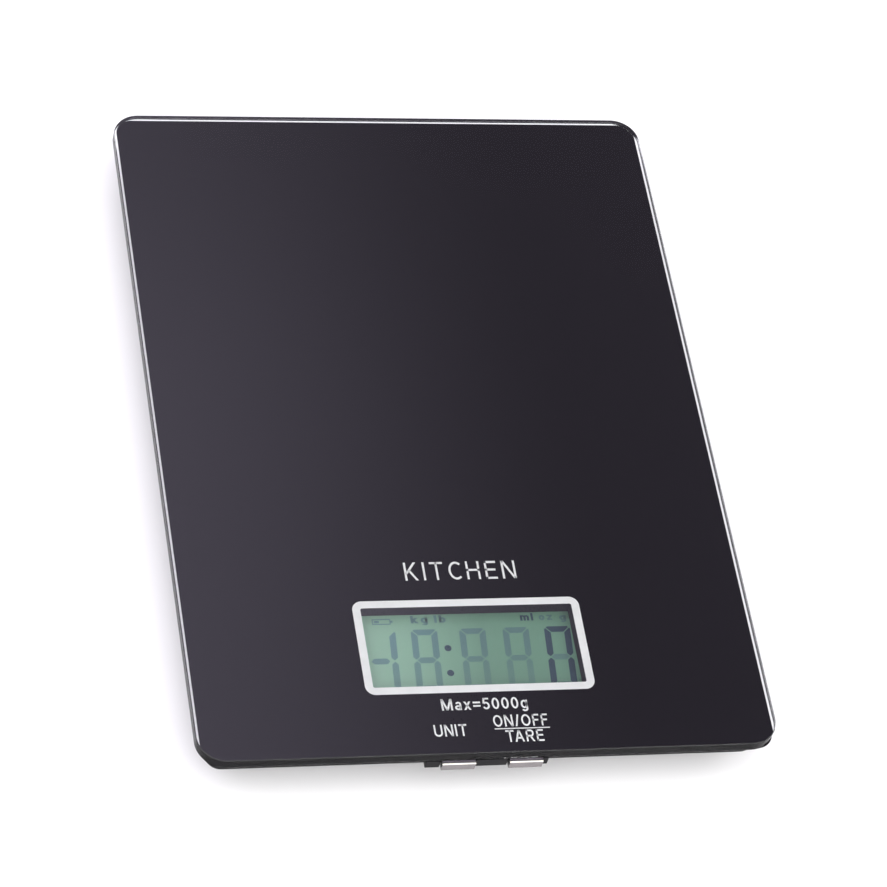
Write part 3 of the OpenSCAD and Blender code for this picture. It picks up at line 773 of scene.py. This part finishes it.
def circuit_board(value):
    """Green solder mask over copper tracks, with tinned pads between them."""
    made = Finish("circuit_board", Coat_Weight=0.35, Coat_Roughness=0.2)
    tracks = made.node("ShaderNodeTexBrick", offset=0.5)
    made.join(made.place, tracks.inputs["Vector"])
    pattern = {"Scale": 60.0, "Mortar Size": 0.016, "Mortar Smooth": 0.2, "Brick Width": 0.42,
               "Row Height": 0.13}
    for socket, number in pattern.items():
        tracks.inputs[socket].default_value = number
    weave = made.blend(made.noise(0.0012, 2), shade(value, 0.85), shade(value, 1.12))
    routed = made.over(tracks.outputs["Fac"], weave, shade(value, 1.9))
    pads = made.spread(made.cells(0.0052), 1.0, 0.0, 0.11, 0.14)
    made.coloured(made.over(pads, routed, tint("#c3c5c4")))
    made.rough(made.spread(pads, 0.42, 0.25, 0, 1))
    return made.bumped([(tracks.outputs["Fac"], 0.00003, 0.5)]).material


def striped_rubber():
    """Zebra strip: thin black conducting layers between pale silicone ones."""
    made = Finish("zebra_rubber", Roughness=0.6, Specular_IOR_Level=0.35)
    made.coloured(made.blend(made.bands(0.0004), tint("#e3dccb"), tint("#26252a"), 0.45, 0.55))
    return made.bumped([(made.bands(0.0004), 0.00002, 0.3)]).material


def potting_resin():
    """Glossy black resin blob with flow ripples."""
    made = Finish("black_resin", Coat_Weight=0.6, Coat_Roughness=0.12)
    ripples = made.noise(0.0025, 3)
    made.coloured(made.blend(ripples, tint("#0d0d0e"), tint("#232225")))
    made.rough(made.spread(ripples, 0.3, 0.5))
    return made.bumped([(ripples, 0.0001, 0.5), (made.noise(0.0003, 2), 0.00002, 0.3)]).material


def component_bodies():
    """Small parts on the board: ceramic chips, a metal can and a black part, told apart by where they sit."""
    made = Finish("component_body", Specular_IOR_Level=0.5)
    grain = made.noise(0.0003, 3)
    ceramic = made.blend(grain, tint("#7c5d3a"), tint("#a3835a"))
    can = made.over(made.along(0, 1, 0, -0.0205, -0.0204), ceramic, tint("#b7b9bc"))
    made.coloured(made.over(made.along(0, 0, 1, 0.0215, 0.0216), can, tint("#1f1f21")))
    made.rough(made.spread(grain, 0.3, 0.55))
    return made.bumped([(grain, 0.00002, 0.3)]).material


def gauge_film():
    """Strain gauges under a drop of translucent amber coating, with fine foil lines."""
    made = Finish("gauge_coating", Coat_Weight=0.6, Coat_Roughness=0.15, Roughness=0.4)
    foil = made.bands(0.0003, "Y")
    made.coloured(made.blend(foil, tint("#a8702c"), tint("#d9a860"), 0.4, 0.6))
    return made.bumped([(made.noise(0.0012, 3), 0.00006, 0.5)]).material


def sleeve(name, code):
    """Extruded sleeve of a lead: smooth, with faint drawing lines and handling marks."""
    made = Finish(name, Specular_IOR_Level=0.45)
    marks = made.noise(0.0009, 3, 0.6)
    made.coloured(made.blend(marks, shade(tint(code), 0.8), shade(tint(code), 1.1)))
    made.rough(made.spread(marks, 0.36, 0.55))
    return made.bumped([(marks, 0.00003, 0.3)]).material


def display_back(settings):
    """The reflector of the display: sage green, finely speckled, and painted paler towards the left as painted
    light.
    """
    made = Finish("display_back", Specular_IOR_Level=0.3, Coat_Weight=0.35, Coat_Roughness=0.25)
    speckle = made.noise(0.00016, 2, 0.6)
    # The lighter colour is laid over the left end, which is painted light.
    even = made.over(made.along(0, 1, 0, *PAINTED_LIGHT_X), settings.back, settings.back_painted_light)
    made.coloured(made.over(made.spread(speckle, 0, 0.14), even, shade(settings.back, 0.75)))
    made.rough(made.spread(speckle, 0.5, 0.62))
    return made.bumped([(speckle, 0.000008, 0.25)]).material


def display_ink(name, value, light, faint):
    """Liquid crystal segment, with the speckle of the reflector showing through: one colour at the left end of
    the display, where the resting segments are made lighter as painted light, another at the right, and fainter
    towards the front."""
    made = Finish(name, Specular_IOR_Level=0.3)
    speckle = made.noise(0.00016, 2, 0.6)
    crystal = made.blend(speckle, shade(value, 0.9), shade(value, 1.12))
    # The colour for the left end is laid over it here; for the resting segments that is painted light.
    crystal = made.over(made.along(0, 1, 0, *PAINTED_LIGHT_X), crystal, light)
    made.coloured(made.over(made.along(1, 0.35, 0, *FAINTER_Y), crystal, faint))
    return made.rough(made.spread(speckle, 0.5, 0.6)).material


def floor_paper(value):
    """Pale seamless paper with a barely visible mottle."""
    made = Finish("floor_paper", Roughness=0.85, Specular_IOR_Level=0.2)
    return made.coloured(made.blend(made.noise(0.12, 4), shade(value, 0.985), value)).material


# ---- Operators ----

class SCALE_OT_glass(Operator):
    """The tempered glass slab with its ground edge"""
    bl_idname = "scale.glass"
    bl_label = "Glass platform"

    def execute(self, context):
        settings = context.scene.scale_glass
        size = GLASS_HIGH - GLASS_LOW
        arris, low, high = settings.arris, GLASS_LOW.z, GLASS_HIGH.z
        rim = [(arris, low), (0.3 * arris, low + 0.3 * arris), (0, low + arris), (0, high - arris),
               (0.3 * arris, high - 0.3 * arris), (arris, high)]
        points, faces = rimmed_slab(size.x, size.y, settings.corner, rim, arc=16)
        ring = len(points) // len(rim)
        bands = [faces[i * ring:(i + 1) * ring] for i in range(len(rim) - 1)]
        shells = [(points, faces[-2:], 0), (points, bands[2], 1)]
        shells += [(points, bands[i], 2) for i in (0, 1, 3, 4)]
        finishes = [clear_glass(), polished_edge(settings), ground_arris(settings)]
        piece("glass_slab", shells, finishes, "platform", ["glass_platform"], crease=10)
        return {"FINISHED"}


def printed_layer(heights):
    """The two heights of a printed layer, in metres."""
    return [GLASS_LOW.z + height * MM for height in heights]


class SCALE_OT_prints(Operator):
    """The black back print with its window, the line round it and the legends"""
    bl_idname = "scale.prints"
    bl_label = "Prints"

    def execute(self, context):
        settings = context.scene.scale_glass
        centre = np.array([-0.08 * MM, (PANEL_LOW.y + PANEL_HIGH.y) / 2])
        black = printed_ink("black_back_print", settings.ink, 0.35, 0.02)
        white = printed_ink("white_print", settings.legend, 0.45, 0.03)
        left, right = GLASS_LOW.x + settings.border_left, GLASS_HIGH.x - settings.border_right
        front, back = GLASS_LOW.y + settings.border_front, GLASS_HIGH.y - settings.border_back
        outer = round_outline(right - left, back - front, settings.print_corner)
        outer = outer + [(left + right) / 2, (front + back) / 2]
        window = centre + round_outline(settings.window_width, settings.window_length,
                                        max(settings.frame_corner - settings.frame_line, 0.5 * MM))
        points, faces = flat_ring(outer, window, *printed_layer(BLACK_LAYER))
        piece("black_print", [(points, faces, 0)], [black], "platform")
        line = 2 * settings.frame_line
        frame_outer = centre + round_outline(settings.window_width + line, settings.window_length + line,
                                             settings.frame_corner)
        points, faces = flat_ring(frame_outer, window, *printed_layer(LINE_LAYER))
        piece("window_line", [(points, faces, 0)], [white], "platform")
        low, high = printed_layer(LEGEND_LAYER)
        shells = [shell for word in LEGENDS for shell in lettering(word, low, high, LEGEND_STROKE)]
        shells.append((*prism(rectangle(*LEGEND_RULE), low, high), 0))
        piece("legends", shells, [white], "platform")
        shells = lettering(FRONT_WORD, low, high, FRONT_STROKE, WIDE_GAP)
        piece("front_word", shells, [white], "platform")
        return {"FINISHED"}


def digit_bars(centre, settings):
    """The seven bars of a digit, a to g: outlines mitred at the corners, then leant by lean times the
    height."""
    w, h, t, q = settings.digit_width / 2, settings.digit_height / 2, settings.bar, settings.gap / 2
    c = settings.corner
    top = np.array([[-w + c, h], [-w + c / 2 + q, h - c / 2], [-w + t + q, h - t], [w - t - q, h - t],
                    [w - c / 2 - q, h - c / 2], [w - c, h]])
    right = np.array([[w, h - c], [w - c / 2, h - c / 2 - q], [w - t, h - t - q], [w - t, t / 2 + q],
                      [w - t / 2, q], [w, t / 2 + q]])
    middle = np.array([[-w + t / 2 + q, 0], [-w + t + q, -t / 2], [w - t - q, -t / 2], [w - t / 2 - q, 0],
                       [w - t - q, t / 2], [-w + t + q, t / 2]])
    flip_x, flip_y = np.array([-1, 1]), np.array([1, -1])
    bars = [top, right, right * flip_y, top * flip_y, right * flip_x * flip_y, right * flip_x, middle]
    return [bar @ np.array([[1, 0], [settings.lean, 1]]) + centre for bar in bars]


class SCALE_OT_display(Operator):
    """The display's reflector and its segments, resting and dark"""
    bl_idname = "scale.display"
    bl_label = "Display"

    def execute(self, context):
        settings = context.scene.scale_display
        dress("lcd_panel", display_back(settings))
        low, high = PANEL_HIGH.z, PANEL_HIGH.z + SEGMENT_HEIGHT * MM
        row = DIGIT_ROW * MM
        ghost = [bar for x in RESTING_DIGITS for bar in digit_bars(np.array([x * MM, row]), settings)]
        *lit_bars, middle_bar = digit_bars(np.array([DARK_DIGIT * MM, row]), settings)
        dark = list(lit_bars)
        ghost.append(middle_bar)
        ghost += digit_bars(np.array([SINGLE_DIGIT * MM, row]), settings)[1:3]
        ghost.append(np.array(MINUS_SIGN) * MM + [0, row])
        for dot in COLON_DOTS:
            disc = round_outline(COLON_SIZE * MM, COLON_SIZE * MM, 0.87 * MM, arc=6)
            dark.append(disc + np.array(dot) * MM)
        ghost += [rectangle(*sides) for sides in BATTERY_MARK]
        resting = (settings.ghost, settings.ghost_painted_light, settings.back)
        lit = (settings.dark,) * 3
        for name, bars, tones in (("resting_segments", ghost, resting), ("dark_segments", dark, lit)):
            shells = [(*prism(bar, low, high), 0) for bar in bars]
            piece(name, shells, [display_ink(name + "_ink", *tones)], "base")
        for name, units, ink, tones in (("resting_units", RESTING_UNITS, "resting_units_ink", resting),
                                        ("dark_unit", [DARK_UNIT], "dark_unit_ink", lit)):
            shells = [shell for unit in units for shell in lettering(unit, low, high, UNIT_STROKE)]
            piece(name, shells, [display_ink(ink, *tones)], "base")
        return {"FINISHED"}


class SCALE_OT_keys(Operator):
    """The two silver keys, their bracket, switches and plungers"""
    bl_idname = "scale.keys"
    bl_label = "Keys"

    def execute(self, context):
        settings = context.scene.scale_keys
        # The chamfer gets the satin plate in a far lighter colour with a higher gloss, which is a painted
        # highlight along the key's front edge.
        plating = [satin_plate("satin_silver_plate", settings.silver),
                   satin_plate("chamfer_painted_highlight", settings.bright, 0.1)]
        for key in ("unit", "tare"):
            shells = self.key_shells(settings, *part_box(key + "_button"))
            cap = piece(key + "_key_cap", shells, plating, key + "_key", [key + "_button"])
            ease_edges(cap, 0.05 * MM)
        black = moulded_plastic("bracket_plastic", context.scene.scale_case.black, 0.38)
        bracket = merged_copy("button_bracket", "key_bracket", black, "base")
        ease_edges(bracket, 0.15 * MM)
        grey = moulded_plastic("switch_plastic", tint("#242326"), 0.4)
        white = moulded_plastic("plunger_plastic", tint("#dcdad4"), 0.4)
        for side in ("unit", "tare"):
            dress("switch_" + side, grey)
            low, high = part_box("plunger_" + side)
            shells = [(*soft_block(low, high, 0.3 * MM), 0)]
            piece("switch_plunger_" + side, shells, [white], side + "_key",
                  ["plunger_" + side])
        return {"FINISHED"}

    def key_shells(self, settings, low, high):
        """A key's chamfered cap, the stem that goes in from it and the foot at the stem's end."""
        x, cut = (low.x + high.x) / 2, settings.chamfer
        front, back, foot, top = low.y, low.y + settings.cap_depth, high.z - 2.7 * MM, high.z
        side = [(front, top - cut), (front + cut, top), (back, top), (back, foot), (front + cut / 2, foot),
                (front, foot + cut / 2)]
        points, faces = along_x(side, low.x, high.x)
        stem_low, stem_top, half, soft = high.z - 1.8 * MM, high.z - 0.6 * MM, 2.8 * MM, 0.2 * MM
        stem = soft_block((x - half, low.y + 2.2 * MM, stem_low), (x + half, high.y, stem_top), soft)
        heel = soft_block((x - half, high.y - 1 * MM, low.z), (x + half, high.y, stem_top), soft)
        return [(points, faces[1:], 0), (points, faces[:1], 1), (*stem, 0), (*heel, 0)]


class SCALE_OT_case(Operator):
    """The moulded base, its cover, battery door and display holder"""
    bl_idname = "scale.case"
    bl_label = "Case"

    def execute(self, context):
        settings = context.scene.scale_case
        black = moulded_plastic("case_plastic", settings.black)
        base = merged_copy("base_shell", "base_moulding", black, "base")
        ease_edges(base, settings.ease)
        door = moulded_plastic("door_plastic", shade(settings.black, 1.15), 0.46)
        lid = merged_copy("battery_door", "door_moulding", door, "door")
        ease_edges(lid, 0.12 * MM)
        dress("top_cover", moulded_plastic("cover_plastic", shade(settings.black, 0.9), 0.5))
        dress("lcd_holder", moulded_plastic("holder_plastic", settings.black, 0.45))
        return {"FINISHED"}


class SCALE_OT_feet(Operator):
    """The four rubber feet with grip rings"""
    bl_idname = "scale.feet"
    bl_label = "Feet"

    def execute(self, context):
        settings = context.scene.scale_case
        rubber = moulded_rubber(settings.rubber)
        rounding, top_edge, pitch = 0.5 * MM, 0.1 * MM, 1.1 * MM
        for node in FEET:
            low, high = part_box(node)
            centre = ((low.x + high.x) / 2, (low.y + high.y) / 2)
            radius = (high.x - low.x) / 2
            r = np.linspace(0, radius - rounding, 45)
            ring = low.z + settings.groove * np.clip(0.5 - 0.9 * np.cos(2 * np.pi * r / pitch), 0, 1)
            ring[-1] = low.z
            a = np.linspace(0, np.pi / 2, 6)[1:]
            edge = np.column_stack([radius - rounding * (1 - np.sin(a)), low.z + rounding * (1 - np.cos(a))])
            top = np.array([[radius, high.z - top_edge], [radius - top_edge, high.z], [0, high.z]])
            profile = np.vstack([np.column_stack([r, ring]), edge, top])
            piece(node + "_pad", [(*lathe(profile, centre), 0)], [rubber], "base", [node])
        return {"FINISHED"}


class SCALE_OT_weighing(Operator):
    """The weighing beam, its spacers, screws, gauges, the carrier plate and its foam pads"""
    bl_idname = "scale.weighing"
    bl_label = "Weighing works"

    def execute(self, context):
        settings = context.scene.scale_works
        beam = milled_metal("milled_aluminium", settings.aluminium, (1, 14, 1))
        for node, name, finish, slot in (("load_cell", "weighing_beam", beam, "cell_aluminium"),
                                         ("strain_gauges", "gauge_coatings", gauge_film(), "gauge_coating")):
            bending = merged_copy(node, name, finish, None)
            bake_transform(bending)
        spacer = milled_metal("sawn_aluminium", shade(settings.aluminium, 0.9), (14, 1, 1), 0.36)
        dress("cell_spacer_lower", spacer)
        dress("cell_spacer_upper", spacer)
        dress("platform_carrier", plated_sheet(settings.zinc))
        dress("glass_pads", foam())
        steel = screw_metal(settings.steel)
        for node in ("cell_screws", "carrier_screws", "case_screws", "board_screws"):
            dress(node, steel)
        return {"FINISHED"}


class SCALE_OT_circuit(Operator):
    """The board with its parts, the zebra strips and the leads"""
    bl_idname = "scale.circuit"
    bl_label = "Circuit"

    def execute(self, context):
        settings = context.scene.scale_works
        dress("main_board", circuit_board(settings.mask))
        dress("board_components", component_bodies())
        dress("chip_cover", potting_resin())
        dress("zebra_strips", striped_rubber())
        high, board, pad = 8.88, 4.8, -46.88
        pitch, aside, back = 1.3, 14, 9
        codes = (("red_sleeve", "#c02b2b"), ("black_sleeve", "#1e1e1e"), ("white_sleeve", "#e8e8e8"),
                 ("green_sleeve", "#2f7d46"))
        sleeves = [sleeve(name, code) for name, code in codes]
        shells = []
        for i in range(4):
            start, bend = -5 - pitch * i, -11 + 0.7 * i
            end = start - aside
            corners = [[start, -6, high], [start, bend, high], [end, bend - back, high], [end, pad, high],
                       [end, pad, board]]
            shells.append((*tube(rounded_path(np.array(corners) * MM, 2 * MM), settings.wire), i))
        piece("beam_leads", shells, sleeves, "base", ["cell_wires"])
        return {"FINISHED"}


class SCALE_OT_battery(Operator):
    """The coin cell, its contacts and its leads"""
    bl_idname = "scale.battery"
    bl_label = "Battery"

    def execute(self, context):
        low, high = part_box("coin_cell")
        centre = ((low.x + high.x) / 2, (low.y + high.y) / 2)
        radius = (high.x - low.x) / 2
        a = np.linspace(0, np.pi / 2, 7)
        foot = np.column_stack([radius - 0.6 * MM * (1 - np.sin(a)), low.z + 0.6 * MM * (1 - np.cos(a))])
        rim = np.column_stack([radius - 0.8 * MM * (1 - np.cos(a)), high.z - 1.0 * MM + 0.7 * MM * np.sin(a)])

        def near_rim(inset, drop):
            """A point in from the cell's side and down from its top, both in millimetres."""
            return [radius - inset * MM, high.z - drop * MM]

        def middle(drop):
            """A point on the cell's axis, down from its top, in millimetres."""
            return [0, high.z - drop * MM]

        can = np.vstack([[[0, low.z]], foot, rim, [near_rim(1.0, 0.45), middle(0.45)]])
        seal = [middle(0.6), near_rim(0.98, 0.6), near_rim(1.05, 0.33), near_rim(1.5, 0.3), middle(0.3)]
        cap = [middle(0.5), near_rim(1.5, 0.5), near_rim(1.6, 0.12), near_rim(1.8, 0), middle(0)]
        steel = milled_metal("coin_steel", tint("#c6c7c9"), (1, 10, 1), 0.24, 0.0006)
        gasket = moulded_plastic("coin_gasket", tint("#4a4846"), 0.5)
        shells = [(*lathe(can, centre, 96), 0), (*lathe(seal, centre, 96), 1), (*lathe(cap, centre, 96), 0)]
        piece("button_battery", shells, [steel, gasket], "base", ["coin_cell"])
        contact = milled_metal("contact_nickel", tint("#c9c4b4"), (1, 1, 12), 0.28, 0.0007)
        dress("contact_positive", contact)
        dress("contact_negative", contact)
        dress("battery_leads", sleeve("lead_sleeve", "#7c2626"))
        return {"FINISHED"}


class SCALE_OT_stage(Operator):
    """The pale floor, the soft light and the camera"""
    bl_idname = "scale.stage"
    bl_label = "Stage"

    def execute(self, context):
        settings = context.scene.scale_stage
        scene = context.scene
        points, faces = rimmed_slab(6, 6, 1, [(0, -0.02), (0, 0)], arc=8)
        mesh = bpy.data.meshes.new("floor")
        mesh.from_pydata(points.tolist(), [], faces)
        mesh.materials.append(floor_paper(settings.floor))
        floor = linked("floor", mesh)
        self.room(scene, settings)
        self.softbox(settings)
        self.camera(scene, settings)
        scene.view_settings.view_transform = "Standard"
        return {"FINISHED"}

    def room(self, scene, settings):
        """An even pale room whose high right side is darker, as a ceiling is beside a window."""
        world = bpy.data.worlds.new("soft_room")
        world.use_nodes = True
        nodes, links = world.node_tree.nodes, world.node_tree.links
        nodes.clear()
        out, light = nodes.new("ShaderNodeOutputWorld"), nodes.new("ShaderNodeBackground")
        links.new(light.outputs[0], out.inputs[0])
        split = nodes.new("ShaderNodeSeparateXYZ")
        links.new(nodes.new("ShaderNodeTexCoord").outputs["Generated"], split.inputs[0])

        def arithmetic(operation, first, second):
            made = nodes.new("ShaderNodeMath")
            made.operation = operation
            links.new(first, made.inputs[0])
            links.new(second, made.inputs[1])
            return made.outputs[0]

        def step(value, start, stop, low, high):
            made = nodes.new("ShaderNodeMapRange")
            made.interpolation_type = "SMOOTHSTEP"
            for socket, number in zip(("From Min", "From Max", "To Min", "To Max"), (start, stop, low, high)):
                made.inputs[socket].default_value = number
            links.new(value, made.inputs["Value"])
            return made.outputs[0]

        # A direction is placed by its slopes to the right and to the back, and by its height from 0 to 1
        height = split.outputs["Z"]
        right = arithmetic("DIVIDE", split.outputs["X"], height)
        back = arithmetic("DIVIDE", split.outputs["Y"], height)
        lit = arithmetic("MULTIPLY", step(right, 0.19, 0.37, 1, 0), step(back, 0.7, 0.86, 1, 0.65))
        near, far = step(back, 0.0, 0.4, 0, 1), step(back, 1.1, 1.7, 1, 0)
        panel = arithmetic("MULTIPLY", arithmetic("MULTIPLY", near, far), step(right, 0.8, 1.4, 1, 0))
        panel = arithmetic("MULTIPLY", panel, step(height, 0.25, 0.4, 0, 1))
        ceiling, whole = nodes.new("ShaderNodeMix"), nodes.new("ShaderNodeMix")
        ceiling.data_type = whole.data_type = "RGBA"
        dim, bright = (0.40, 0.355, 0.475, 1), (1.30, 1.18, 1.54, 1)
        ceiling.inputs[6].default_value = dim
        ceiling.inputs[7].default_value = bright
        links.new(lit, ceiling.inputs["Factor"])
        room = nodes.new("ShaderNodeCombineColor")
        shone = step(height, 0.3, 0.65, 1.0, 2.3)
        for socket in ("Red", "Green", "Blue"):
            links.new(shone, room.inputs[socket])
        links.new(room.outputs[0], whole.inputs[6])
        links.new(panel, whole.inputs["Factor"])
        links.new(ceiling.outputs[2], whole.inputs[7])
        links.new(whole.outputs[2], light.inputs["Color"])
        light.inputs["Strength"].default_value = settings.sky
        scene.world = world

    def softbox(self, settings):
        """A large soft panel in front, to the left."""
        lamp = bpy.data.lights.new("softbox", "AREA")
        lamp.shape = "RECTANGLE"
        lamp.size, lamp.size_y = 2.4, 1.8
        lamp.energy = settings.softbox
        holder = linked("softbox", lamp)
        holder.location = (-1.0, -1.8, 1.1)
        holder.rotation_euler = (Vector((0, 0, 0)) - holder.location).to_track_quat("-Z", "Y").to_euler()

    def camera(self, scene, settings):
        """Looks down from the left of the front, rolled a little."""
        lens = bpy.data.cameras.new("camera")
        lens.lens = settings.lens
        lens.sensor_width = 36
        lens.clip_start, lens.clip_end = 0.05, 20
        camera = linked("camera", lens)
        turn, rise, roll = settings.turn, settings.rise, settings.roll
        ahead = Vector((math.sin(turn) * math.cos(rise), math.cos(turn) * math.cos(rise), -math.sin(rise)))
        level = Vector((math.cos(turn), -math.sin(turn), 0))
        upright = level.cross(ahead)
        right = math.cos(roll) * level + math.sin(roll) * upright
        up = math.cos(roll) * upright - math.sin(roll) * level
        aim = Vector((1.31 * MM, -8.14 * MM, GLASS_HIGH.z))
        place = aim - settings.distance * ahead
        camera.matrix_world = Matrix.Translation(place) @ Matrix((right, up, -ahead)).transposed().to_4x4()
        scene.camera = camera


class SCALE_PT_looks(Panel):
    """Lists the settings and the steps that build the scale's looks"""
    bl_idname = "SCALE_PT_looks"
    bl_label = "Kitchen scale"
    bl_space_type = "VIEW_3D"
    bl_region_type = "UI"
    bl_category = "Scale"

    def draw(self, context):
        for name, group in SETTINGS.items():
            box = self.layout.box()
            box.label(text=group.__doc__)
            for setting in group.__annotations__:
                box.prop(getattr(context.scene, name), setting)
        for step in STEPS:
            self.layout.operator(step.bl_idname)


STEPS = (
    SCALE_OT_glass, SCALE_OT_prints, SCALE_OT_display, SCALE_OT_keys, SCALE_OT_case, SCALE_OT_feet,
    SCALE_OT_weighing, SCALE_OT_circuit, SCALE_OT_battery, SCALE_OT_stage,
)


def register():
    """Adds the settings, the steps and the panel."""
    for made in (*SETTINGS.values(), *STEPS, SCALE_PT_looks):
        bpy.utils.register_class(made)
    for name, group in SETTINGS.items():
        setattr(bpy.types.Scene, name, PointerProperty(type=group))


def unregister():
    """Takes them away again."""
    for name in SETTINGS:
        delattr(bpy.types.Scene, name)
    for made in (SCALE_PT_looks, *STEPS[::-1], *list(SETTINGS.values())[::-1]):
        bpy.utils.unregister_class(made)


def main():
    """Builds every piece and the stage in order."""
    register()
    for step in STEPS:
        group, name = step.bl_idname.split(".")
        getattr(getattr(bpy.ops, group), name)()
    bpy.context.view_layer.update()


if __name__ == "__main__":
    main()
